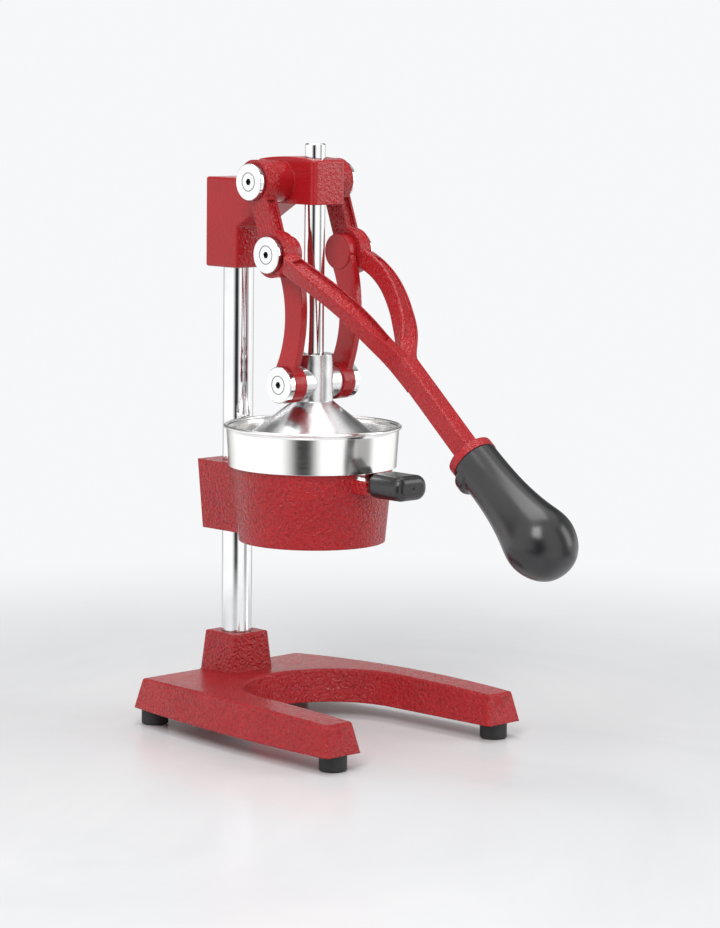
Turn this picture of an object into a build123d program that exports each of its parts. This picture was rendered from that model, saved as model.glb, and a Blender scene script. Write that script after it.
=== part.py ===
from build123d import *
import math
import os

# Hand lever citrus press, in millimetres.
# While building, the press axis (rod, cone and cup) is the line x = 0, y = 0.
# The front is -Y, the left side is -X, and the feet stand on z = 0.

# Fits
slip = 0.05                  # radial clearance of a running pin or rod
seat = 0.02                  # radial clearance of a fixed fit
side_gap = 0.3               # side clearance between faces that turn past each other

# Base casting
foot_height = 13.0
foot_radius = 11.0
foot_edge = 1.5              # from the foot to the edge of the casting
foot_bevel = 1.0
base_height = 24.0
base_crown = 3.0             # rise of the top face between its ends
base_draft = 5.0             # inset of the top outline
base_rear_y = 114.5
base_rear_half = 91.4
base_side_bulge = 6.2        # of the side outline beyond a straight line
base_front_half = 108.5
base_front_y = -133.0
leg_width = 37.1             # at the front end
throat_radius = 67.5         # round end of the gap between the legs
throat_y = -27.0
base_round = 2.5
base_wall = 6.0
base_plate = 8.0
post_top_half = 18.6
post_foot_half = 21.5
post_top_z = 70.0

# Column
column_radius = 12.5
column_y = 90.0
column_seat_z = 32.0
column_shelf = 8.0
column_bolt_radius = 5.0
column_bolt_depth = 28.0
column_bolt_head = 6.4
column_bolt_flats = 17.0
washer_radius = 12.0
washer_thickness = 2.5

# Head casting
head_half = 18.5
head_rear = 20.5             # behind the column axis
head_front = 18.0            # in front of the column axis
head_bottom_z = 373.0
head_top_z = 446.3
head_cap = 8.0
gusset_z = 406.7
gusset_y = 36.0
nose_half = 17.5
nose_front_y = -17.0
nose_back_y = 47.0
nose_slope = 14.0
nose_crown = 2.5             # rise of the arm's top face between its ends
nose_bottom_z = 428.0
nose_top_z = 463.0
nose_round = 4.0
casting_round = 2.0
pivot_boss_radius = 16.5

# Pivots, side view
pivot_a_y = 21.6
pivot_a_z = 445.7
pivot_b_y = 0.9
pivot_b_z = 388.9
pivot_c_y = 0.0
pivot_c_z = 284.7
bolt_radius = 6.0
bolt_thread = 12.0           # length screwed into the casting
cap_radius = 14.7
cap_thickness = 5.5
cap_edge = 0.8
cap_ring_radius = 7.6
cap_ring_width = 0.7
cap_ring_depth = 0.4
socket_flats = 5.0
socket_depth = 3.0

# Side stack, outwards from the middle plane
boss_face = 34.3
lever_eye_width = 12.2
lug_face = 20.3
link_foot_width = 12.4
link_head_width = 8.0
link_bar_inner = 27.0
link_bar_outer = 33.2

# Sliding rod and press cone
rod_radius = 8.25
rod_top_z = 476.2
rod_bevel = 1.0
rod_foot_z = 274.0
hub_radius = 16.0
hub_top_z = 308.0
lug_radius = 13.5
cone_top_z = 270.0
cone_radius = 58.0
cone_rim_z = 237.4
cone_skirt = 5.0
cone_wall = 5.0
set_screw_radius = 3.0

# Links
link_head_radius = 14.4
link_foot_radius = 15.0
link_front_reach = 21.0      # front edge ahead of the pivot line at mid length
link_rear_reach = 2.0        # rear edge ahead of the pivot line at mid length
link_head_blend = 1.0        # the bar's edges inside the outlines of its ends
link_front_blend = 5.0
link_rear_blend = 3.0

# Lever
lever_eye_radius = 17.5
lever_elbow_radius = 18.5
crank_half = 8.6
shaft_height = 17.0
shaft_width = 15.2
arm_start_width = 12.2       # where the arm leaves the elbow
arm_start_height = 16.4
arm_mid_width = 16.0         # where the arm turns in
arm_mid_height = 13.4
arm_steps = 12
arm_mid_lean = 32.0          # degrees that the arm's top face leans outwards there
arm_slope = 0.3              # fall of the arm where it leaves the elbow
arm_bulge_x = 42.6           # widest part of the fork, middle of the arm
arm_bulge_y = -18.0
arm_bulge_z = 381.7
arm_turn_x = 28.4
arm_turn_y = -69.0
arm_turn_z = 348.5
arm_close_x = 13.2
arm_close_y = -92.0
arm_close_z = 321.5
fork_y = -118.0              # where the arms have run into the shaft
fork_z = 292.4
shaft_start_y = -103.0
shaft_start_z = 307.6
lever_round = 2.0            # along the edges of arms and shaft
pocket_depth = 2.4
pocket_rim = 2.4
pocket_start = 0.16          # share of the arm's length
pocket_end = 0.74
crank_pocket_half = 3.8
crank_pocket_length = 25.0
flange_y = -181.2
flange_z = 238.4
flange_radius = 19.2
flange_thickness = 7.0
spigot_radius = 8.0
spigot_length = 62.0

# Lever grip
grip_dip = 38.6              # degrees below the horizontal
grip_top_radius = 18.6
grip_waist_radius = 19.1
grip_waist_at = 30.0
grip_flare_radius = 24.7
grip_flare_at = 70.0
grip_bulb_radius = 27.9
grip_bulb_at = 89.0
grip_nose_radius = 19.7
grip_nose_at = 110.0
grip_length = 118.0
grip_lip_radius = 18.8
grip_lip_drop = 5.5          # lip's middle below the grip's axis
grip_lip_at = 2.0
grip_lip_thickness = 12.0

# Cup holder
holder_top_z = 217.5
holder_bottom_z = 156.6
holder_top_radius = 65.0
holder_bottom_radius = 59.4
holder_bore = 58.8
holder_ledge_z = 172.0
holder_ledge_radius = 50.0
bracket_half = 27.0
bracket_side_draft = 5.0
bracket_back = 20.5          # behind the column axis, at the top
bracket_back_draft = 1.0
bracket_top_z = 214.0
bracket_round = 34.0
notch_room = 1.5             # round the tang in the notch
lug_wall = 4.0               # beside the notch
lug_floor = 5.5              # below the notch
lug_gap = 1.0                # to the handle
lug_round = 2.0

# Sheet metal cup, sieve and funnel
sheet = 1.2
cup_rim_radius = 71.9
cup_rim_z = 250.9
cup_rim_bead = 1.5
cup_neck_radius = 69.8
cup_neck_z = 246.0
cup_shoulder_radius = 68.0
cup_well_radius = 57.0
cup_floor_z = 186.0
dome_foot_radius = 44.0
dome_overlap = 3.0           # of the cup's floor inside the foot of the dome
dome_flange = 2.8            # round the foot of the dome
dome_top_radius = 9.0
dome_top_z = 246.0
sieve_hole_radius = 2.0
sieve_rows = 4
sieve_first_radius = 18.0
sieve_row_step = 7.0
sieve_pitch = 9.0
floor_hole_count = 36
floor_hole_radius = 1.8
funnel_wall_height = 7.0
spout_radius = 15.0
spout_top_z = 163.0
spout_bottom_z = 150.0

# Cup handle
tang_half = 10.5
tang_thickness = 3.0
tang_drop = 6.0              # top of the tang below the holder's top
handle_back_y = -78.5
handle_front_y = -115.0
handle_half = 17.0
handle_height = 20.0
handle_round = 9.0
handle_soft = 6.0
handle_mark_radius = 1.2
handle_mark_depth = 1.0
tang_cover = 9.0             # plastic left in front of the tang
handle_pin_radius = 2.0
handle_pin_sink = 1.0

# Screws
foot_screw_radius = 2.5
foot_screw_head = 4.6
foot_screw_head_height = 3.2
foot_screw_recess = 6.0
foot_screw_bite = 12.0
foot_screw_slot_half = 0.6
foot_screw_slot_depth = 1.0
clamp_screw_radius = 4.0
clamp_screw_socket = 4.0
clamp_screw_socket_depth = 3.0
clamp_screw_sink = 1.0       # below the casting's face
clamp_screw_shares = (0.28, 0.72)    # heights of the two screws as shares of the clamp

# Worked out
base_top_z = foot_height + base_height
base_mid_share = base_rear_y / (base_rear_y - base_front_y)
base_mid_half = base_rear_half + (base_front_half - base_rear_half) * base_mid_share + base_side_bulge
leg_inner_half = base_front_half - leg_width
lever_inner = boss_face + side_gap
lever_outer = lever_inner + lever_eye_width
link_head_outer = lever_inner - side_gap
link_head_inner = link_head_outer - link_head_width
link_foot_inner = lug_face + side_gap
link_foot_outer = link_foot_inner + link_foot_width
column_top_z = head_top_z - head_cap
foot_front_x = (base_front_half + leg_inner_half) / 2
foot_front_y = base_front_y + foot_radius + foot_edge
foot_rear_x = base_rear_half - foot_radius - foot_edge
foot_rear_y = base_rear_y - foot_radius - foot_edge
tang_top_z = holder_top_z - tang_drop
tang_bottom_z = tang_top_z - tang_thickness
handle_mid_z = tang_top_z - tang_thickness / 2
bulk = 1000.0                # longer than any piece, for cuts that go right through


def cylinder_x(radius, x0, x1, y, z):
    """Round bar along X."""
    bar = Cylinder(radius, abs(x1 - x0), rotation=(0, 90, 0))
    return Pos((x0 + x1) / 2, y, z) * bar


def cylinder_y(radius, y0, y1, x, z):
    """Round bar along Y."""
    bar = Cylinder(radius, abs(y1 - y0), rotation=(90, 0, 0))
    return Pos(x, (y0 + y1) / 2, z) * bar


def cylinder_z(radius, z0, z1, x=0.0, y=0.0):
    """Round bar along Z."""
    return Pos(x, y, (z0 + z1) / 2) * Cylinder(radius, abs(z1 - z0))


def block(x0, x1, y0, y1, z0, z1):
    """Box between two corners."""
    centre = Pos((x0 + x1) / 2, (y0 + y1) / 2, (z0 + z1) / 2)
    return centre * Box(abs(x1 - x0), abs(y1 - y0), abs(z1 - z0))


def prism_x(face, x0, x1):
    """Side view face, drawn with (y, z), carried from x0 to x1."""
    return extrude(Pos(x0, 0, 0) * (Plane.YZ * face), x1 - x0, dir=(1, 0, 0))


def prism_z(face, z0, z1):
    """Plan face carried from z0 to z1."""
    return extrude(Pos(0, 0, z0) * face, z1 - z0, dir=(0, 0, 1))


def polygon(*points):
    """Straight sided face."""
    return make_face(Polyline(*points, close=True))


def turned(*points):
    """Solid of revolution about Z from (radius, z) points."""
    return revolve(make_face(Plane.XZ * Polyline(*points, close=True)), Axis.Z)


def both_sides(shape):
    """A left piece and its mirror image, as one casting."""
    return shape + mirror(shape, about=Plane.YZ)


def base_outline(inset):
    """Plan of the U shaped base, drawn in by inset on every side."""
    rear = base_rear_y - inset
    front = base_front_y + inset
    rear_half = base_rear_half - inset
    front_half = base_front_half - inset
    inner = leg_inner_half + inset
    throat = throat_radius + inset
    right = [
        ThreePointArc((rear_half, rear), (base_mid_half - inset, 0), (front_half, front)),
        Line((front_half, front), (inner, front)),
        Line((inner, front), (throat, throat_y)),
    ]
    left = [mirror(edge, about=Plane.YZ) for edge in right]
    round_end = ThreePointArc((throat, throat_y), (0, throat_y + throat), (-throat, throat_y))
    rear_edge = Line((-rear_half, rear), (rear_half, rear))
    return make_face(right + left + [round_end, rear_edge])


def base_casting():
    """U shaped casting, hollow below, with the square post that holds the column."""
    rise = base_draft / base_height
    high = base_top_z + base_crown + casting_round
    top_inset = rise * (high - foot_height)
    body = loft([Pos(0, 0, foot_height) * base_outline(0), Pos(0, 0, high) * base_outline(top_inset)],
                ruled=True)
    crown = make_face([
        ThreePointArc((base_rear_y, base_top_z), (0, base_top_z + base_crown), (base_front_y, base_top_z)),
        Polyline((base_front_y, base_top_z), (base_front_y, 0), (base_rear_y, 0), (base_rear_y, base_top_z)),
    ])
    body = body & prism_x(crown, -bulk, bulk)
    body = fillet([edge for edge in body.edges() if edge.bounding_box().max.Z > foot_height + slip], base_round)
    roof = base_top_z - base_plate
    hollow = loft([Pos(0, 0, foot_height) * base_outline(base_wall),
                   Pos(0, 0, roof) * base_outline(base_wall + rise * (roof - foot_height))], ruled=True)
    body = body - hollow
    post_foot = Pos(0, column_y, base_top_z) * Rectangle(2 * post_foot_half, 2 * post_foot_half)
    post_top = Pos(0, column_y, post_top_z) * Rectangle(2 * post_top_half, 2 * post_top_half)
    post = loft([post_foot, post_top], ruled=True)
    post = fillet([edge for edge in post.edges() if edge.bounding_box().max.Z > base_top_z + slip], casting_round)
    body = body + post
    body = body + block(-post_foot_half, post_foot_half, column_y - post_foot_half, column_y + post_foot_half,
                        column_seat_z - column_shelf, base_top_z)
    for x, y in foot_places():
        body = body + cylinder_z(foot_radius - foot_bevel, foot_height, roof + base_plate / 2, x, y)
    body = body - cylinder_z(column_radius + seat, column_seat_z, bulk, 0, column_y)
    body = body - cylinder_z(column_bolt_radius + seat, 0, bulk, 0, column_y)
    for x, y in foot_places():
        body = body - cylinder_z(foot_screw_radius + seat, 0, foot_height + foot_screw_bite, x, y)
    return body


def foot_places():
    """Plan positions of the four feet."""
    places = []
    for x, y in ((foot_front_x, foot_front_y), (foot_rear_x, foot_rear_y)):
        places += [(-x, y), (x, y)]
    return places


def foot(x, y):
    """Rubber foot with a sunk hole for its screw."""
    body = Cylinder(foot_radius, foot_height)
    body = chamfer(body.edges().filter_by(GeomType.CIRCLE).group_by(Axis.Z)[0], foot_bevel)
    body = Pos(x, y, foot_height / 2) * body
    body = body - cylinder_z(foot_screw_head + seat, 0, foot_screw_recess, x, y)
    return body - cylinder_z(foot_screw_radius + seat, 0, foot_height, x, y)


def foot_screws():
    """Pan head screws, one up through each foot."""
    screws = []
    for x, y in foot_places():
        head = cylinder_z(foot_screw_head, foot_screw_recess - foot_screw_head_height, foot_screw_recess, x, y)
        shank = cylinder_z(foot_screw_radius, foot_screw_recess, foot_height + foot_screw_bite, x, y)
        slot = block(x - foot_screw_head, x + foot_screw_head, y - foot_screw_slot_half, y + foot_screw_slot_half,
                     0, foot_screw_recess - foot_screw_head_height + foot_screw_slot_depth)
        screws.append(head + shank - slot)
    return Compound(children=screws)


def column():
    """Plated bar, tapped at its foot for the bolt that holds it down."""
    bar = cylinder_z(column_radius, column_seat_z, column_top_z, 0, column_y)
    return bar - cylinder_z(column_bolt_radius + seat, 0, column_seat_z + column_bolt_depth, 0, column_y)


def column_washer():
    """Plain washer below the shelf in the post."""
    top = column_seat_z - column_shelf
    ring = cylinder_z(washer_radius, top - washer_thickness, top, 0, column_y)
    return ring - cylinder_z(column_bolt_radius + seat, 0, bulk, 0, column_y)


def column_bolt():
    """Hexagon bolt up into the column."""
    under = column_seat_z - column_shelf - washer_thickness
    hexagon = RegularPolygon(column_bolt_flats / 2, 6, major_radius=False)
    head = prism_z(Pos(0, column_y) * hexagon, under - column_bolt_head, under)
    return head + cylinder_z(column_bolt_radius, under, column_seat_z + column_bolt_depth - side_gap, 0, column_y)


def clamp_screws(face_y, heights):
    """Socket set screws from a rear face in to the column."""
    screws = []
    outer = face_y - clamp_screw_sink
    for z in heights:
        body = cylinder_y(clamp_screw_radius, column_y + column_radius, outer, 0, z)
        hexagon = RegularPolygon(clamp_screw_socket / 2, 6, major_radius=False)
        socket = extrude(Pos(0, outer, z) * (Plane.XZ * hexagon), clamp_screw_socket_depth, dir=(0, -1, 0))
        screws.append(body - socket)
    return Compound(children=screws)


def head_screw_heights():
    """Two screws, evenly spaced over the part of the column in the head."""
    span = column_top_z - head_bottom_z
    return [head_bottom_z + span * share for share in clamp_screw_shares]


def holder_screw_heights():
    """Two screws, evenly spaced over the bracket."""
    span = bracket_top_z - holder_bottom_z
    return [holder_bottom_z + span * share for share in clamp_screw_shares]


def head_casting():
    """Block on the column, with the arm that guides the rod and carries the lever."""
    rear = column_y + head_rear
    front = column_y - head_front
    clamp = polygon((rear, head_bottom_z), (front, head_bottom_z), (front, gusset_z),
                    (gusset_y, nose_bottom_z), (gusset_y, head_top_z), (rear, head_top_z))
    body = prism_x(clamp, -head_half, head_half)
    body = fillet(body.edges(), casting_round)
    tip = (nose_front_y, nose_top_z)
    back = (nose_back_y, nose_top_z)
    arm = make_face([
        ThreePointArc(tip, ((nose_front_y + nose_back_y) / 2, nose_top_z + nose_crown), back),
        Polyline(back, (nose_back_y + nose_slope, head_top_z), (front, nose_bottom_z),
                 (nose_front_y, nose_bottom_z), tip),
    ])
    nose = prism_x(arm, -nose_half, nose_half)
    nose = fillet(nose.edges().filter_by(Axis.Z).group_by(Axis.Y)[0], nose_round)
    nose = fillet(nose.faces().sort_by(Axis.Z)[-1].edges(), casting_round)
    body = body + nose
    body = body + both_sides(cylinder_x(pivot_boss_radius, 0, boss_face, pivot_a_y, pivot_a_z))
    body = body - cylinder_z(rod_radius + slip, 0, bulk)
    body = body - cylinder_z(column_radius + seat, 0, column_top_z + seat, 0, column_y)
    for side in (-1, 1):
        body = body - cylinder_x(bolt_radius + seat, side * (boss_face - bolt_thread), side * bulk,
                                 pivot_a_y, pivot_a_z)
    for z in head_screw_heights():
        body = body - cylinder_y(clamp_screw_radius + seat, column_y, bulk, 0, z)
    return body


def pivot_bolt(side, under, reach, y, z):
    """Capped shoulder bolt, its cap outside the plane x = under, its shank in to reach."""
    top = under + cap_thickness
    cap = Cylinder(cap_radius, cap_thickness)
    cap = fillet(cap.edges().filter_by(GeomType.CIRCLE).group_by(Axis.Z)[-1], cap_edge)
    cap = Pos((under + top) / 2, y, z) * (Rot(0, 90, 0) * cap)
    ring = cylinder_x(cap_ring_radius, top - cap_ring_depth, top, y, z)
    ring = ring - cylinder_x(cap_ring_radius - cap_ring_width, 0, bulk, y, z)
    hexagon = RegularPolygon(socket_flats / 2, 6, major_radius=False)
    socket = prism_x(Pos(y, z) * hexagon, top - socket_depth, top)
    bolt = cap - ring - socket + cylinder_x(bolt_radius, reach, under, y, z)
    if side < 0:
        bolt = mirror(bolt, about=Plane.YZ)
    return bolt


def arm_path():
    """Middle line of the right arm, from the elbow to where it has run into the shaft."""
    down_shaft = (0, flange_y - fork_y, flange_z - fork_z)
    start = ((lever_inner + lever_outer) / 2, pivot_b_y, pivot_b_z)
    end = ((shaft_width - arm_start_width) / 2 - side_gap, fork_y, fork_z)
    return Spline(start, (arm_bulge_x, arm_bulge_y, arm_bulge_z), (arm_turn_x, arm_turn_y, arm_turn_z),
                  (arm_close_x, arm_close_y, arm_close_z), end, tangents=[(0, -1, -arm_slope), down_shaft])


def arm_section(share):
    """Plane across the arm at a share of its length, with X outwards and Y up, then width and height there."""
    path = arm_path()
    along = path % share
    outward = Vector(-along.Y, along.X, 0).normalized()
    swell = math.sin(math.pi * share)
    plane = Plane(origin=path @ share, x_dir=outward, z_dir=along)
    plane = Plane(plane.location * Rot(0, 0, -arm_mid_lean * swell))
    width = arm_start_width + (arm_mid_width - arm_start_width) * swell
    height = arm_start_height + (arm_mid_height - arm_start_height) * swell
    return plane, width, height


def lever_arm():
    """Right arm, with a sunk panel along its top and its underside."""
    sections = []
    for step in range(arm_steps + 1):
        plane, width, height = arm_section(step / arm_steps)
        sections.append(plane * RectangleRounded(width, height, lever_round))
    body = loft(sections)
    for face in (1, -1):
        cuts = []
        for step in range(arm_steps + 1):
            plane, width, height = arm_section(pocket_start + (pocket_end - pocket_start) * step / arm_steps)
            panel = Rectangle(width - 2 * pocket_rim, 2 * pocket_depth)
            cuts.append(plane * Pos(0, face * height / 2) * panel)
        body = body - loft(cuts)
    return body


def lever_shaft():
    """Straight bar with rounded edges, from the fork to the flange."""
    run = Vector(0, flange_y - shaft_start_y, flange_z - shaft_start_z)
    plane = Plane(origin=(0, shaft_start_y, shaft_start_z), x_dir=(1, 0, 0), z_dir=run)
    profile = RectangleRounded(shaft_width, shaft_height, lever_round)
    return extrude(plane * profile, run.length - flange_thickness / 2)


def lever_casting():
    """Forked lever: eyes, cranks, elbows, two arms that join in one shaft, and a flange."""
    right_arm = lever_arm() & block(0, bulk, -bulk, bulk, 0, bulk)
    body = lever_shaft() + right_arm
    body = body + mirror(right_arm, about=Plane.YZ)
    for wall in (-1, 1):
        body = body - cylinder_x(lever_elbow_radius, 0, wall * lever_inner, pivot_b_y, pivot_b_z)
        body = body - cylinder_x(lever_elbow_radius, wall * lever_outer, wall * bulk, pivot_b_y, pivot_b_z)
    body = body + both_sides(lever_crank())
    body = body + grip_plane() * Pos(0, 0, -flange_thickness / 2) * Cylinder(flange_radius, flange_thickness)
    body = body + grip_plane() * Pos(0, 0, spigot_length / 2) * Cylinder(spigot_radius, spigot_length)
    for wall in (-1, 1):
        body = body - cylinder_x(bolt_radius + slip, 0, wall * bulk, pivot_a_y, pivot_a_z)
        body = body - cylinder_x(bolt_radius + seat, 0, wall * bulk, pivot_b_y, pivot_b_z)
    return body


def lever_crank():
    """Right eye, crank and elbow, with a sunk panel on the front and the rear of the crank."""
    crank_line = Vector(pivot_a_y - pivot_b_y, pivot_a_z - pivot_b_z, 0)
    tilt = math.degrees(math.atan2(crank_line.Y, crank_line.X))
    middle = Pos((pivot_a_y + pivot_b_y) / 2, (pivot_a_z + pivot_b_z) / 2) * Rot(0, 0, tilt)
    crank = prism_x(middle * Rectangle(crank_line.length, 2 * crank_half), lever_inner, lever_outer)
    middle_x = (lever_inner + lever_outer) / 2
    for face in (1, -1):
        panel = middle * Pos(0, face * crank_half) * Rectangle(crank_pocket_length, 2 * pocket_depth)
        crank = crank - prism_x(panel, middle_x - crank_pocket_half, middle_x + crank_pocket_half)
    crank = crank + cylinder_x(lever_eye_radius, lever_inner, lever_outer, pivot_a_y, pivot_a_z)
    return crank + cylinder_x(lever_elbow_radius, lever_inner, lever_outer, pivot_b_y, pivot_b_z)


def grip_plane():
    """Plane across the top of the grip, with +Z along the grip."""
    dip = math.radians(grip_dip)
    return Plane(origin=(0, flange_y, flange_z), x_dir=(1, 0, 0), z_dir=(0, -math.cos(dip), -math.sin(dip)))


def lever_grip():
    """Bulb shaped grip pushed on to the spigot of the lever."""
    outline = Spline((grip_top_radius, 0), (grip_waist_radius, grip_waist_at), (grip_flare_radius, grip_flare_at),
                     (grip_bulb_radius, grip_bulb_at), (grip_nose_radius, grip_nose_at), (0, grip_length),
                     tangents=[(0, 1), (-1, 0)])
    face = make_face(Plane.XZ * Curve([outline, Polyline((0, grip_length), (0, 0), (grip_top_radius, 0))]))
    body = revolve(face, Axis.Z)
    lip = Cylinder(grip_lip_radius, grip_lip_thickness)
    lip = fillet(lip.edges().filter_by(GeomType.CIRCLE), grip_lip_thickness / 3)
    body = body + Pos(0, -grip_lip_drop, grip_lip_at + grip_lip_thickness / 2) * lip
    bore = Pos(0, 0, spigot_length / 2) * Cylinder(spigot_radius + seat, spigot_length + 2 * seat)
    return grip_plane() * (body - bore)


def link(side):
    """Bowed link between the lever's elbow and the cone's lug."""
    mid_y = (pivot_b_y + pivot_c_y) / 2
    mid_z = (pivot_b_z + pivot_c_z) / 2
    front_top = (pivot_b_y - link_head_radius + link_head_blend, pivot_b_z)
    front_foot = (pivot_c_y - link_foot_radius + link_front_blend, pivot_c_z + link_foot_radius / 2)
    rear_top = (pivot_b_y + link_head_radius - link_head_blend, pivot_b_z)
    rear_foot = (pivot_c_y + link_foot_radius - link_rear_blend, pivot_c_z + link_foot_radius / 2)
    bar = make_face([
        ThreePointArc(front_top, (mid_y - link_front_reach, mid_z + link_foot_radius), front_foot),
        ThreePointArc(rear_top, (mid_y - link_rear_reach, mid_z), rear_foot),
        Line(front_top, rear_top),
        Line(front_foot, rear_foot),
    ])
    body = prism_x(bar, link_bar_inner, link_bar_outer)
    body = body + cylinder_x(link_head_radius, link_head_inner, link_head_outer, pivot_b_y, pivot_b_z)
    body = body + cylinder_x(link_foot_radius, link_foot_inner, link_foot_outer, pivot_c_y, pivot_c_z)
    body = body - cylinder_x(bolt_radius + slip, link_foot_inner, link_foot_outer, pivot_c_y, pivot_c_z)
    blind = link_head_outer - link_head_width / 2
    body = body - cylinder_x(bolt_radius + slip, blind, link_head_outer, pivot_b_y, pivot_b_z)
    if side < 0:
        body = mirror(body, about=Plane.YZ)
    return body


def plunger_rod():
    """Plated rod that slides in the head and carries the cone."""
    rod = cylinder_z(rod_radius, rod_foot_z, rod_top_z)
    return chamfer(rod.edges().filter_by(GeomType.CIRCLE).group_by(Axis.Z)[-1], rod_bevel)


def press_cone():
    """Hollow cone with the hub for the rod and a lug on each side."""
    slope = (cone_top_z - cone_rim_z) / (cone_radius - hub_radius)
    inner = cone_radius - cone_wall
    drop = cone_wall / math.cos(math.atan(slope))
    crown_z = cone_top_z - drop + slope * (hub_radius - rod_radius)
    body = turned((0, hub_top_z), (hub_radius, hub_top_z), (hub_radius, cone_top_z), (cone_radius, cone_rim_z),
                  (cone_radius, cone_rim_z - cone_skirt), (inner, cone_rim_z - cone_skirt),
                  (inner, cone_rim_z + slope * cone_wall - drop), (rod_radius, crown_z), (0, crown_z))
    body = body + both_sides(cylinder_x(lug_radius, 0, lug_face, pivot_c_y, pivot_c_z))
    body = body - cylinder_z(rod_radius + seat, rod_foot_z, bulk)
    for side in (-1, 1):
        body = body - cylinder_x(bolt_radius + seat, side * (lug_face - bolt_thread), side * bulk,
                                 pivot_c_y, pivot_c_z)
    return body - cylinder_y(set_screw_radius + seat, 0, bulk, 0, cone_set_screw_z())


def cone_set_screw_z():
    """Height of the set screw, midway between the lugs and the top of the hub."""
    return (pivot_c_z + bolt_radius + hub_top_z) / 2


def cone_set_screw():
    """Set screw in the rear of the hub."""
    return cylinder_y(set_screw_radius, rod_radius + seat, hub_radius - clamp_screw_sink, 0, cone_set_screw_z())


def cup_holder():
    """Tapered ring on a bracket that is clamped to the column, with a notch for the cup's tang."""
    body = turned((0, holder_bottom_z), (holder_bottom_radius, holder_bottom_z),
                  (holder_top_radius, holder_top_z), (0, holder_top_z))
    back = column_y + bracket_back
    foot_back = back - bracket_back_draft
    foot_half = bracket_half - bracket_side_draft
    foot = Pos(0, foot_back / 2, holder_bottom_z) * Rectangle(2 * foot_half, foot_back)
    top = Pos(0, back / 2, bracket_top_z) * Rectangle(2 * bracket_half, back)
    body = body + loft([foot, top], ruled=True)
    joins = [edge for edge in body.edges() if foot_half < abs(edge.center().X) < bracket_half
             and 0 < edge.center().Y < holder_top_radius and edge.bounding_box().size.Z > bracket_round]
    body = fillet(joins, bracket_round)
    corners = [edge for edge in body.edges() if edge.bounding_box().max.Y > back - slip
               and edge.bounding_box().size.Z > bracket_round]
    body = fillet(corners, casting_round)
    notch_half = tang_half + notch_room
    notch_z = tang_bottom_z - notch_room
    lug_half = notch_half + lug_wall
    lug = block(-lug_half, lug_half, handle_back_y + lug_gap, 0, notch_z - lug_floor, tang_top_z + notch_room)
    lug = fillet(lug.edges().group_by(Axis.Y)[0] + lug.edges().filter_by(Axis.Y), lug_round)
    body = body + lug
    body = body - cylinder_z(holder_bore, holder_ledge_z, bulk) - cylinder_z(holder_ledge_radius, 0, bulk)
    body = body - cylinder_z(column_radius + seat, 0, bulk, 0, column_y)
    body = body - block(-notch_half, notch_half, -bulk, 0, notch_z, bulk)
    for z in holder_screw_heights():
        body = body - cylinder_y(clamp_screw_radius + seat, column_y, bulk, 0, z)
    return body


def strainer_cup():
    """Drawn cup that hangs on the holder, with a floor that carries the pierced dome."""
    well = cup_well_radius - sheet
    lip = dome_foot_radius - dome_overlap
    top = holder_top_z
    bead = cup_rim_radius - cup_rim_bead
    bead_z = cup_rim_z - cup_rim_bead
    body = turned(
        (cup_well_radius, cup_floor_z - sheet), (cup_well_radius, top), (cup_shoulder_radius, top),
        (cup_neck_radius, cup_neck_z), (bead + sheet / 2, bead_z), (bead - sheet / 2, bead_z),
        (cup_neck_radius - sheet, cup_neck_z), (cup_shoulder_radius - sheet, top + sheet), (well, top + sheet),
        (well, cup_floor_z), (lip, cup_floor_z), (lip, cup_floor_z - sheet))
    body = body + Pos(0, 0, bead_z) * Torus(bead, cup_rim_bead)
    gutter = (well + dome_foot_radius + dome_flange) / 2
    hole = Cylinder(floor_hole_radius, 4 * sheet)
    for i in range(floor_hole_count):
        body = body - Rot(0, 0, 360 * i / floor_hole_count) * Pos(gutter, 0, cup_floor_z) * hole
    return body


def strainer_dome():
    """Pierced dome on a flange that lies on the floor of the cup."""
    rim = dome_foot_radius + dome_flange
    foot = cup_floor_z + sheet
    slope = (dome_top_z - foot) / (dome_foot_radius - dome_top_radius)
    lift = sheet * math.hypot(1, slope)
    body = turned(
        (rim, cup_floor_z), (rim, foot), (dome_foot_radius, foot), (dome_top_radius, dome_top_z),
        (0, dome_top_z), (0, dome_top_z - sheet), (dome_top_radius - sheet / 2, dome_top_z - sheet),
        (dome_foot_radius - lift / slope, cup_floor_z))
    tilt = Rot(0, 90 - math.degrees(math.atan(1 / slope)), 0)
    holes = []
    for row in range(sieve_rows):
        radius = sieve_first_radius + row * sieve_row_step
        z = dome_top_z - slope * (radius - dome_top_radius)
        count = int(2 * math.pi * radius / sieve_pitch)
        for i in range(count):
            turn = 360 * (i + row / 2) / count
            holes.append(Rot(0, 0, turn) * Pos(radius, 0, z) * tilt * Cylinder(sieve_hole_radius, 6 * sheet))
    return body - holes


def funnel():
    """Shallow funnel on the holder's ledge, with a spout over the glass."""
    outer = holder_bore - side_gap
    ledge = holder_ledge_z
    bend = holder_ledge_radius - side_gap
    return turned(
        (outer, ledge), (outer, ledge + funnel_wall_height), (outer - sheet, ledge + funnel_wall_height),
        (outer - sheet, ledge + sheet), (bend, ledge + sheet), (spout_radius, spout_top_z + sheet),
        (spout_radius, spout_bottom_z), (spout_radius + sheet, spout_bottom_z),
        (spout_radius + sheet, spout_top_z), (bend, ledge))


def handle_tang():
    """Flat strip from the cup's well out through the notch into the plastic handle."""
    strip_end = handle_front_y + tang_cover
    body = block(-tang_half, tang_half, strip_end, 0, tang_bottom_z, tang_top_z)
    body = body - cylinder_z(cup_well_radius + seat, 0, bulk)
    return body - cylinder_z(handle_pin_radius + seat, 0, bulk, 0, (handle_back_y + strip_end) / 2)


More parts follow.
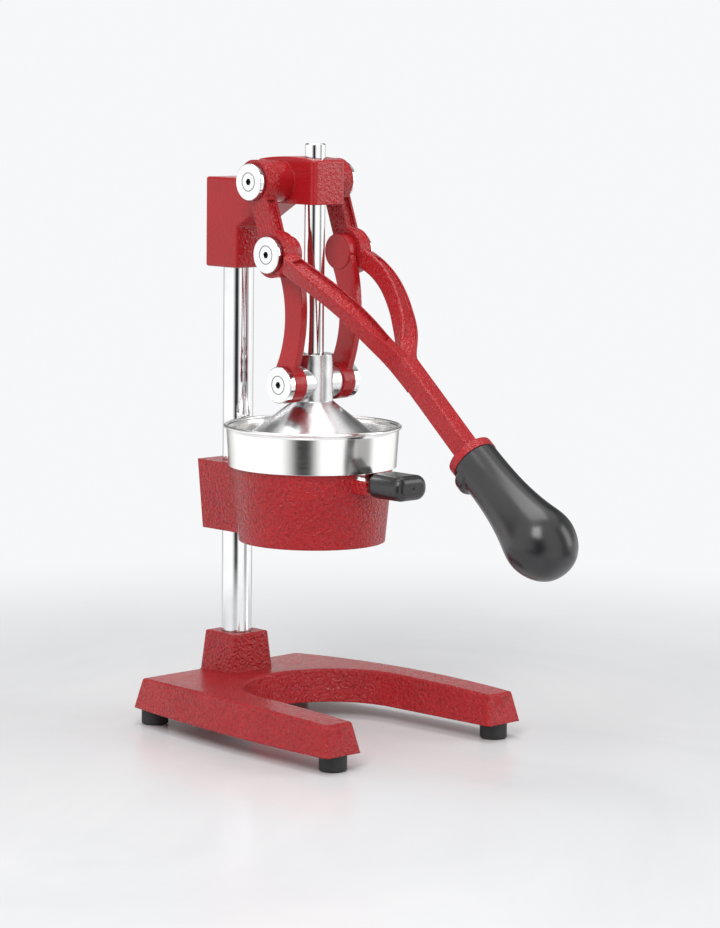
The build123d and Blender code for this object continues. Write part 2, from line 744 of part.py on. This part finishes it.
def cup_handle():
    """Moulded grip on the tang."""
    outline = RectangleRounded(2 * handle_half, handle_height, handle_round)
    face = Pos(0, handle_back_y, handle_mid_z) * (Plane.XZ * outline)
    body = extrude(face, handle_back_y - handle_front_y, dir=(0, -1, 0))
    body = fillet(body.faces().sort_by(Axis.Y)[0].edges(), handle_soft)
    body = fillet(body.faces().sort_by(Axis.Y)[-1].edges(), handle_soft)
    strip_end = handle_front_y + tang_cover
    body = body - block(-tang_half - seat, tang_half + seat, strip_end - seat, 0,
                        tang_bottom_z - seat, tang_top_z + seat)
    pin_y = (handle_back_y + strip_end) / 2
    body = body - cylinder_z(handle_pin_radius + seat, 0, tang_top_z + tang_thickness, 0, pin_y)
    return body - cylinder_y(handle_mark_radius, handle_front_y, handle_front_y + handle_mark_depth, 0, handle_mid_z)


def handle_pin():
    """Pin up through the handle and the tang."""
    pin_y = (handle_back_y + handle_front_y + tang_cover) / 2
    foot_z = handle_mid_z - handle_height / 2 + handle_pin_sink
    return cylinder_z(handle_pin_radius, foot_z, tang_top_z + tang_thickness, 0, pin_y)


def all_pieces():
    """Every piece by name, built about the press axis."""
    pieces = {
        "base_casting": base_casting(),
        "foot_screws": foot_screws(),
        "column": column(),
        "column_washer": column_washer(),
        "column_bolt": column_bolt(),
        "head_casting": head_casting(),
        "head_set_screws": clamp_screws(column_y + head_rear, head_screw_heights()),
        "cup_holder": cup_holder(),
        "holder_set_screws": clamp_screws(column_y + bracket_back - bracket_back_draft, holder_screw_heights()),
        "strainer_cup": strainer_cup(),
        "strainer_dome": strainer_dome(),
        "funnel": funnel(),
        "handle_tang": handle_tang(),
        "cup_handle": cup_handle(),
        "handle_pin": handle_pin(),
        "lever_casting": lever_casting(),
        "lever_grip": lever_grip(),
        "plunger_rod": plunger_rod(),
        "press_cone": press_cone(),
        "cone_set_screw": cone_set_screw(),
    }
    corners = ("front_left", "front_right", "rear_left", "rear_right")
    for corner, (x, y) in zip(corners, foot_places()):
        pieces["foot_" + corner] = foot(x, y)
    for name, side in (("left", -1), ("right", 1)):
        pieces["link_" + name] = link(side)
        pieces["pivot_bolt_top_" + name] = pivot_bolt(
            side, lever_outer + side_gap, boss_face - bolt_thread, pivot_a_y, pivot_a_z)
        pieces["pivot_bolt_middle_" + name] = pivot_bolt(side, lever_outer, lever_inner, pivot_b_y, pivot_b_z)
        pieces["pivot_bolt_lower_" + name] = pivot_bolt(
            side, link_foot_outer + side_gap, lug_face - bolt_thread, pivot_c_y, pivot_c_z)
    return pieces


def main():
    """Move the origin to the middle of the footprint and write one file per piece."""
    pieces = all_pieces()
    boxes = [shape.bounding_box() for shape in pieces.values()]
    middle = (min(box.min.Y for box in boxes) + max(box.max.Y for box in boxes)) / 2
    shift = Pos(0, -middle, 0)
    os.makedirs("parts", exist_ok=True)
    for name, shape in pieces.items():
        export_step(shift * shape, "parts/" + name + ".step")
    print("origin below the press axis at y", round(middle, 4))


if __name__ == "__main__":
    main()
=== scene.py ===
import math

import bpy
from mathutils import Matrix, Vector


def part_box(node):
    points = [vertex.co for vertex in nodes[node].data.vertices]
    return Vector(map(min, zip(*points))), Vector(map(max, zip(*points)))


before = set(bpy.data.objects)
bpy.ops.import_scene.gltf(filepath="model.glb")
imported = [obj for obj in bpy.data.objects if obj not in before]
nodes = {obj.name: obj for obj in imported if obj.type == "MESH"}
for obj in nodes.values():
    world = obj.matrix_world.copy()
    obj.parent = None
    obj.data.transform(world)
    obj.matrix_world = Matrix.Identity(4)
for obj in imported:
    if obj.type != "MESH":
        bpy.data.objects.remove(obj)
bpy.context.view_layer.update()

# Press axis in the shared frame, and the column behind it
COLUMN_BEHIND = 0.090
low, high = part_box("column")
PRESS_Y = (low.y + high.y) / 2 - COLUMN_BEHIND

# Camera of the photograph
AZIMUTH, PITCH, ROLL = math.radians(-44.391), math.radians(7.39), math.radians(0.636)
EYE = Vector((-1.777366, PRESS_Y - 1.870368, 0.553284))
FOCAL_PIXELS = 3220.66
PICTURE_HEIGHT = 928
SENSOR = 36.0

BACKDROP = (0.93, 0.935, 0.945, 1)
FLOOR_SIDE = 2.1
FLOOR_DROP = 0.0003          # below the feet, so that no two faces share a plane
FLOOR_FADE = (0.38, 1.0)     # radii between which the floor turns into the backdrop
STRIPS_START = (0.50, 0.75)  # radii between which the strips on the floor come in


# Shader helpers
def new_material(name):
    mat = bpy.data.materials.new(name)
    mat.use_nodes = True
    tree = mat.node_tree
    shader = tree.nodes["Principled BSDF"]
    return mat, tree, shader


def node(tree, kind, **values):
    made = tree.nodes.new(kind)
    for key, value in values.items():
        if key in made.inputs:
            made.inputs[key].default_value = value
        else:
            setattr(made, key, value)
    return made


def link(tree, source, out, target, into):
    tree.links.new(source.outputs[out], target.inputs[into])


def coords(tree, scale=(1, 1, 1)):
    place = node(tree, "ShaderNodeTexCoord")
    stretch = node(tree, "ShaderNodeMapping")
    stretch.inputs["Scale"].default_value = scale
    link(tree, place, "Object", stretch, "Vector")
    return stretch


def noise(tree, where, scale, detail=3.0, rough=0.55, distortion=0.0):
    made = node(tree, "ShaderNodeTexNoise")
    made.inputs["Scale"].default_value = scale
    made.inputs["Detail"].default_value = detail
    made.inputs["Roughness"].default_value = rough
    made.inputs["Distortion"].default_value = distortion
    link(tree, where, "Vector", made, "Vector")
    return made


def ramp(tree, source, out, stops):
    made = node(tree, "ShaderNodeValToRGB")
    marks = made.color_ramp.elements
    marks[1].position = stops[-1][0]
    marks[0].position = stops[0][0]
    for place, _ in stops[1:-1]:
        marks.new(place)
    for mark, (_, colour) in zip(marks, stops):
        mark.color = colour if len(colour) == 4 else (*colour, 1)
    link(tree, source, out, made, "Fac")
    return made


def grey(value):
    return (value, value, value, 1)


def soft_edge(tree, radius):
    made = node(tree, "ShaderNodeBevel", samples=6)
    made.inputs["Radius"].default_value = radius
    return made


def bump(tree, source, out, strength, distance, base=None):
    made = node(tree, "ShaderNodeBump")
    made.inputs["Strength"].default_value = strength
    made.inputs["Distance"].default_value = distance
    link(tree, source, out, made, "Height")
    if base is not None:
        link(tree, base, "Normal", made, "Normal")
    return made


def enamel(name, skin_and_painted_shade, edge):
    """Baked red enamel with a hammered skin, with painted shade in its troughs and painted glints on its
    crests; grain sets how deep the skin is and how strong the painted shade and glints are.
    """
    mat, tree, shader = new_material(name)
    where = coords(tree)
    broad = noise(tree, where, 14, 2)
    skin = noise(tree, where, 400, 1.5, 0.5, 0.5)
    fine = noise(tree, where, 1100, 2)
    tint = ramp(tree, broad, "Fac", [(0.30, (0.385, 0.009, 0.013)), (0.72, (0.455, 0.014, 0.019))])
    # Painted shade in the troughs of the hammered skin and painted glints on its crests, multiplied into the
    # red
    painted_wrinkle_shade_and_glint = ramp(tree, skin, "Fac", [
        (0.32, grey(0.72)), (0.47, grey(1.0)), (0.58, grey(1.0)), (0.70, grey(1.15))])
    mixed = node(tree, "ShaderNodeMix", data_type="RGBA", blend_type="MULTIPLY")
    mixed.inputs["Factor"].default_value = skin_and_painted_shade
    tree.links.new(tint.outputs["Color"], mixed.inputs["A"])
    tree.links.new(painted_wrinkle_shade_and_glint.outputs["Color"], mixed.inputs["B"])
    tree.links.new(mixed.outputs["Result"], shader.inputs["Base Color"])
    shine = ramp(tree, broad, "Fac", [(0.3, grey(0.18)), (0.7, grey(0.26))])
    link(tree, shine, "Color", shader, "Roughness")
    rounded = soft_edge(tree, edge)
    hammered = bump(tree, skin, "Fac", skin_and_painted_shade, 0.0021, rounded)
    both = bump(tree, fine, "Fac", 0.06 * skin_and_painted_shade, 0.0003, hammered)
    link(tree, both, "Normal", shader, "Normal")
    shader.inputs["Specular IOR Level"].default_value = 0.20
    shader.inputs["Coat Weight"].default_value = 0.26
    shader.inputs["Coat Roughness"].default_value = 0.05
    link(tree, both, "Normal", shader, "Coat Normal")
    return mat


def painted_hollow_shade(tree, colour, reach):
    """Painted shade: darkens the colour in grooves and sockets narrower than the reach."""
    cover = node(tree, "ShaderNodeAmbientOcclusion", samples=8)
    cover.inputs["Distance"].default_value = reach
    shade = ramp(tree, cover, "AO", [(0.50, grey(0.04)), (0.92, grey(1.0))])
    mixed = node(tree, "ShaderNodeMix", data_type="RGBA", blend_type="MULTIPLY")
    mixed.inputs["Factor"].default_value = 1.0
    tree.links.new(colour.outputs["Color"], mixed.inputs["A"])
    tree.links.new(shade.outputs["Color"], mixed.inputs["B"])
    return mixed


def plated(name, edge, hollow_shade_reach):
    """Polished plating with faint drawing lines and wear along Z, and painted shade in the hollows."""
    mat, tree, shader = new_material(name)
    along = coords(tree, (1, 1, 0.02))
    lines = noise(tree, along, 700, 2)
    mist = noise(tree, coords(tree), 30, 3)
    tone = ramp(tree, mist, "Fac", [(0.3, (0.72, 0.725, 0.735)), (0.7, (0.83, 0.83, 0.835))])
    # Painted shade in grooves and sockets, multiplied into the plating's colour
    tree.links.new(painted_hollow_shade(tree, tone, hollow_shade_reach).outputs["Result"], shader.inputs["Base Color"])
    haze = ramp(tree, mist, "Fac", [(0.35, grey(0.055)), (0.75, grey(0.13))])
    link(tree, haze, "Color", shader, "Roughness")
    drawn = bump(tree, lines, "Fac", 0.06, 0.0001, soft_edge(tree, edge))
    link(tree, drawn, "Normal", shader, "Normal")
    shader.inputs["Metallic"].default_value = 1.0
    return mat


def cast_metal(name):
    """Polished aluminium casting with small pits."""
    mat, tree, shader = new_material(name)
    where = coords(tree)
    pits = noise(tree, where, 420, 3)
    mist = noise(tree, where, 45, 3)
    tone = ramp(tree, mist, "Fac", [(0.28, (0.60, 0.605, 0.615)), (0.72, (0.82, 0.82, 0.825))])
    link(tree, tone, "Color", shader, "Base Color")
    haze = ramp(tree, mist, "Fac", [(0.3, grey(0.20)), (0.75, grey(0.32))])
    link(tree, haze, "Color", shader, "Roughness")
    rounded = soft_edge(tree, 0.0010)
    rough = bump(tree, pits, "Fac", 0.16, 0.0002, rounded)
    link(tree, rough, "Normal", shader, "Normal")
    shader.inputs["Metallic"].default_value = 1.0
    return mat


def sheet_metal(name):
    """Satin sheet, brushed round the cup."""
    mat, tree, shader = new_material(name)
    round_lines = noise(tree, coords(tree, (0.01, 0.01, 1)), 2600, 2)
    mist = noise(tree, coords(tree), 22, 3)
    tone = ramp(tree, mist, "Fac", [(0.3, (0.84, 0.835, 0.825)), (0.7, (0.92, 0.915, 0.905))])
    link(tree, tone, "Color", shader, "Base Color")
    haze = ramp(tree, round_lines, "Fac", [(0.3, grey(0.13)), (0.7, grey(0.19))])
    link(tree, haze, "Color", shader, "Roughness")
    brushed = bump(tree, round_lines, "Fac", 0.03, 0.0001, soft_edge(tree, 0.0005))
    link(tree, brushed, "Normal", shader, "Normal")
    shader.inputs["Metallic"].default_value = 1.0
    shader.inputs["Anisotropic"].default_value = 0.45
    return mat


def zinc(name):
    """Plain zinc on screws and the column bolt."""
    mat, tree, shader = new_material(name)
    spots = noise(tree, coords(tree), 260, 4)
    tone = ramp(tree, spots, "Fac", [(0.3, (0.36, 0.37, 0.38)), (0.7, (0.56, 0.56, 0.55))])
    link(tree, tone, "Color", shader, "Base Color")
    haze = ramp(tree, spots, "Fac", [(0.3, grey(0.28)), (0.7, grey(0.46))])
    link(tree, haze, "Color", shader, "Roughness")
    link(tree, bump(tree, spots, "Fac", 0.1, 0.0001, soft_edge(tree, 0.0003)), "Normal", shader, "Normal")
    shader.inputs["Metallic"].default_value = 1.0
    return mat


def moulded(name):
    """Satin black moulded plastic with a very fine orange peel."""
    mat, tree, shader = new_material(name)
    where = coords(tree)
    peel = noise(tree, where, 900, 2)
    smudge = noise(tree, where, 26, 3)
    tone = ramp(tree, smudge, "Fac", [(0.3, (0.010, 0.010, 0.011)), (0.7, (0.016, 0.016, 0.018))])
    link(tree, tone, "Color", shader, "Base Color")
    haze = ramp(tree, smudge, "Fac", [(0.3, grey(0.21)), (0.7, grey(0.29))])
    link(tree, haze, "Color", shader, "Roughness")
    link(tree, bump(tree, peel, "Fac", 0.07, 0.0002, soft_edge(tree, 0.0015)), "Normal", shader, "Normal")
    shader.inputs["Specular IOR Level"].default_value = 0.6
    return mat


def rubber(name):
    """Matt black rubber with a dusty bloom."""
    mat, tree, shader = new_material(name)
    where = coords(tree)
    bloom = noise(tree, where, 120, 4)
    tone = ramp(tree, bloom, "Fac", [(0.3, (0.010, 0.010, 0.010)), (0.75, (0.022, 0.022, 0.022))])
    link(tree, tone, "Color", shader, "Base Color")
    haze = ramp(tree, bloom, "Fac", [(0.3, grey(0.50)), (0.7, grey(0.68))])
    link(tree, haze, "Color", shader, "Roughness")
    link(tree, bump(tree, bloom, "Fac", 0.12, 0.0002, soft_edge(tree, 0.0008)), "Normal", shader, "Normal")
    return mat


textured = enamel("red_enamel_hammered", 1.0, 0.0016)
satin = enamel("red_enamel_satin", 0.60, 0.0014)
smooth = enamel("red_enamel_smooth", 0.16, 0.0014)
chrome = plated("plated_steel", 0.0004, 0.001)
cap_chrome = plated("plated_caps", 0.00015, 0.004)
cone_metal = cast_metal("polished_casting")
sheet = sheet_metal("satin_sheet")
screw_metal = zinc("zinc_steel")
black = moulded("black_plastic")
feet = rubber("black_rubber")

finishes = {
    "base_casting": textured, "cup_holder": textured, "lever_casting": satin,
    "head_casting": smooth, "link_left": smooth, "link_right": smooth,
    "column": chrome, "plunger_rod": chrome, "press_cone": cone_metal,
    "strainer_cup": sheet, "strainer_dome": sheet, "funnel": sheet, "handle_tang": sheet,
    "lever_grip": black, "cup_handle": black,
}
for name, part in nodes.items():
    if name in finishes:
        skin = finishes[name]
    elif name.startswith("pivot_bolt"):
        skin = cap_chrome
    elif any(word in name for word in ("screw", "bolt", "washer", "pin")):
        skin = screw_metal
    else:
        skin = feet
    part.data.materials.clear()
    part.data.materials.append(skin)


# Studio round the part: white walls and floor with dark strips that the plated pieces mirror
def at(degrees):
    return 0.5 + degrees / 360


def strips(tree, source, out):
    """Wall shade by compass angle from the camera's side, and how far each way points to the camera."""
    aside = node(tree, "ShaderNodeVectorMath", operation="DOT_PRODUCT")
    aside.inputs[1].default_value = (math.cos(AZIMUTH), math.sin(AZIMUTH), 0)
    link(tree, source, out, aside, 0)
    toward = node(tree, "ShaderNodeVectorMath", operation="DOT_PRODUCT")
    toward.inputs[1].default_value = (math.sin(AZIMUTH), -math.cos(AZIMUTH), 0)
    link(tree, source, out, toward, 0)
    turn = node(tree, "ShaderNodeMath", operation="ARCTAN2")
    link(tree, aside, "Value", turn, 0)
    link(tree, toward, "Value", turn, 1)
    share = node(tree, "ShaderNodeMapRange")
    share.inputs["From Min"].default_value = -math.pi
    share.inputs["From Max"].default_value = math.pi
    link(tree, turn, "Value", share, "Value")
    made = ramp(tree, share, "Result", [
        (at(-178), grey(0.9)), (at(-158), grey(0.25)), (at(-146), grey(0.75)), (at(-120), grey(1.25)),
        (at(-42), grey(1.3)), (at(-31), grey(0.80)), (at(-19), grey(0.03)), (at(-3), grey(0.03)),
        (at(12), grey(1.25)), (at(54), grey(1.25)), (at(62), grey(0.45)), (at(80), grey(0.45)),
        (at(90), grey(1.3)), (at(144), grey(1.1)), (at(158), grey(0.25)), (at(178), grey(0.9))])
    return made, toward


half = FLOOR_SIDE / 2
mesh = bpy.data.meshes.new("floor")
mesh.from_pydata([(-half, -half, 0), (half, -half, 0), (half, half, 0), (-half, half, 0)], [], [(0, 1, 2, 3)])
floor = bpy.data.objects.new("floor", mesh)
floor.location = (0, 0, -FLOOR_DROP)
bpy.context.scene.collection.objects.link(floor)
mat, tree, shader = new_material("pale_floor")
where = coords(tree)
cloud = noise(tree, where, 2.2, 5, 0.6, 1.5)
tone = ramp(tree, cloud, "Fac", [(0.35, (0.80, 0.805, 0.815)), (0.65, (0.87, 0.87, 0.875))])
link(tree, tone, "Color", shader, "Base Color")
shader.inputs["Roughness"].default_value = 0.20
shader.inputs["Specular IOR Level"].default_value = 0.25
far = node(tree, "ShaderNodeVectorMath", operation="LENGTH")
link(tree, where, "Vector", far, 0)
reach = node(tree, "ShaderNodeMapRange", interpolation_type="SMOOTHSTEP")
reach.inputs["From Min"].default_value, reach.inputs["From Max"].default_value = FLOOR_FADE
link(tree, far, "Value", reach, "Value")
glow = node(tree, "ShaderNodeEmission")
glow.inputs["Color"].default_value = BACKDROP
blend = node(tree, "ShaderNodeMixShader")
link(tree, reach, "Result", blend, 0)
link(tree, shader, "BSDF", blend, 1)
link(tree, glow, "Emission", blend, 2)
# Plated pieces mirror the strips on the floor as well, out of the part's own shadow
around = node(tree, "ShaderNodeVectorMath", operation="SUBTRACT")
around.inputs[1].default_value = (0, PRESS_Y, 0)
link(tree, where, "Vector", around, 0)
bands, _ = strips(tree, around, "Vector")
outside = node(tree, "ShaderNodeVectorMath", operation="LENGTH")
link(tree, around, "Vector", outside, 0)
clear = node(tree, "ShaderNodeMapRange", interpolation_type="SMOOTHSTEP")
clear.inputs["From Min"].default_value, clear.inputs["From Max"].default_value = STRIPS_START
link(tree, outside, "Value", clear, "Value")
path = node(tree, "ShaderNodeLightPath")
mirror_share = node(tree, "ShaderNodeMath", operation="MULTIPLY")
link(tree, path, "Is Glossy Ray", mirror_share, 0)
link(tree, clear, "Result", mirror_share, 1)
banded = node(tree, "ShaderNodeEmission")
link(tree, bands, "Color", banded, "Color")
whole = node(tree, "ShaderNodeMixShader")
link(tree, mirror_share, "Value", whole, 0)
link(tree, blend, "Shader", whole, 1)
link(tree, banded, "Emission", whole, 2)
link(tree, whole, "Shader", tree.nodes["Material Output"], "Surface")
floor.data.materials.append(mat)

world = bpy.data.worlds.new("studio")
bpy.context.scene.world = world
world.use_nodes = True
tree = world.node_tree
back = tree.nodes["Background"]
way = node(tree, "ShaderNodeTexCoord")
walls, toward = strips(tree, way, "Generated")
height = node(tree, "ShaderNodeSeparateXYZ")
link(tree, way, "Generated", height, "Vector")
dim = ramp(tree, height, "Z", [
    (0.0, grey(1.0)), (0.06, grey(0.9)), (0.17, grey(0.40)), (0.74, grey(0.20)), (0.86, grey(1.0))])
behind = node(tree, "ShaderNodeMapRange", interpolation_type="SMOOTHSTEP")
behind.inputs["From Min"].default_value = 0.10
behind.inputs["From Max"].default_value = -0.15
link(tree, toward, "Value", behind, "Value")
ceiling = node(tree, "ShaderNodeMix", data_type="RGBA", blend_type="MULTIPLY")
link(tree, behind, "Result", ceiling, "Factor")
tree.links.new(walls.outputs["Color"], ceiling.inputs["A"])
tree.links.new(dim.outputs["Color"], ceiling.inputs["B"])
overhead = node(tree, "ShaderNodeMapRange", interpolation_type="SMOOTHSTEP")
overhead.inputs["From Min"].default_value = 0.62
overhead.inputs["From Max"].default_value = 0.84
link(tree, height, "Z", overhead, "Value")
roof = node(tree, "ShaderNodeMix", data_type="RGBA")
link(tree, overhead, "Result", roof, "Factor")
tree.links.new(ceiling.outputs["Result"], roof.inputs["A"])
roof.inputs["B"].default_value = grey(1.2)
rays = node(tree, "ShaderNodeLightPath")
mirrored = node(tree, "ShaderNodeMix", data_type="RGBA")
link(tree, rays, "Is Glossy Ray", mirrored, "Factor")
mirrored.inputs["A"].default_value = (0.50, 0.505, 0.515, 1)
tree.links.new(roof.outputs["Result"], mirrored.inputs["B"])
shown = node(tree, "ShaderNodeMix", data_type="RGBA")
link(tree, rays, "Is Camera Ray", shown, "Factor")
tree.links.new(mirrored.outputs["Result"], shown.inputs["A"])
shown.inputs["B"].default_value = BACKDROP
tree.links.new(shown.outputs["Result"], back.inputs["Color"])


def lamp(name, place, aim, size, watts):
    data = bpy.data.lights.new(name, "AREA")
    data.shape = "RECTANGLE"
    data.size, data.size_y = size
    data.energy = watts
    made = bpy.data.objects.new(name, data)
    made.location = place
    made.rotation_euler = (Vector(aim) - Vector(place)).to_track_quat("-Z", "Y").to_euler()
    bpy.context.scene.collection.objects.link(made)


aim = (0, PRESS_Y, 0.25)
lamp("key", (-1.5, PRESS_Y - 1.0, 1.7), aim, (0.9, 1.2), 26)
lamp("fill", (1.6, PRESS_Y - 1.5, 1.0), aim, (0.8, 1.4), 10)
lamp("top", (0.1, PRESS_Y + 0.2, 2.1), aim, (1.4, 1.4), 16)

right = Vector((math.cos(AZIMUTH), math.sin(AZIMUTH), 0))
level = Vector((math.sin(AZIMUTH), -math.cos(AZIMUTH), 0))
backward = level * math.cos(PITCH) + Vector((0, 0, math.sin(PITCH)))
upward = backward.cross(right)
turned_right = right * math.cos(ROLL) + upward * math.sin(ROLL)
turned_up = upward * math.cos(ROLL) - right * math.sin(ROLL)
camera = bpy.data.cameras.new("camera")
camera.sensor_width = SENSOR
camera.lens = FOCAL_PIXELS / PICTURE_HEIGHT * SENSOR
camera.clip_end = 50
eye = bpy.data.objects.new("camera", camera)
place = Matrix((turned_right, turned_up, backward)).transposed().to_4x4()
place.translation = EYE
eye.matrix_world = place
bpy.context.scene.collection.objects.link(eye)
bpy.context.scene.camera = eye

bpy.context.scene.view_settings.view_transform = "Standard"
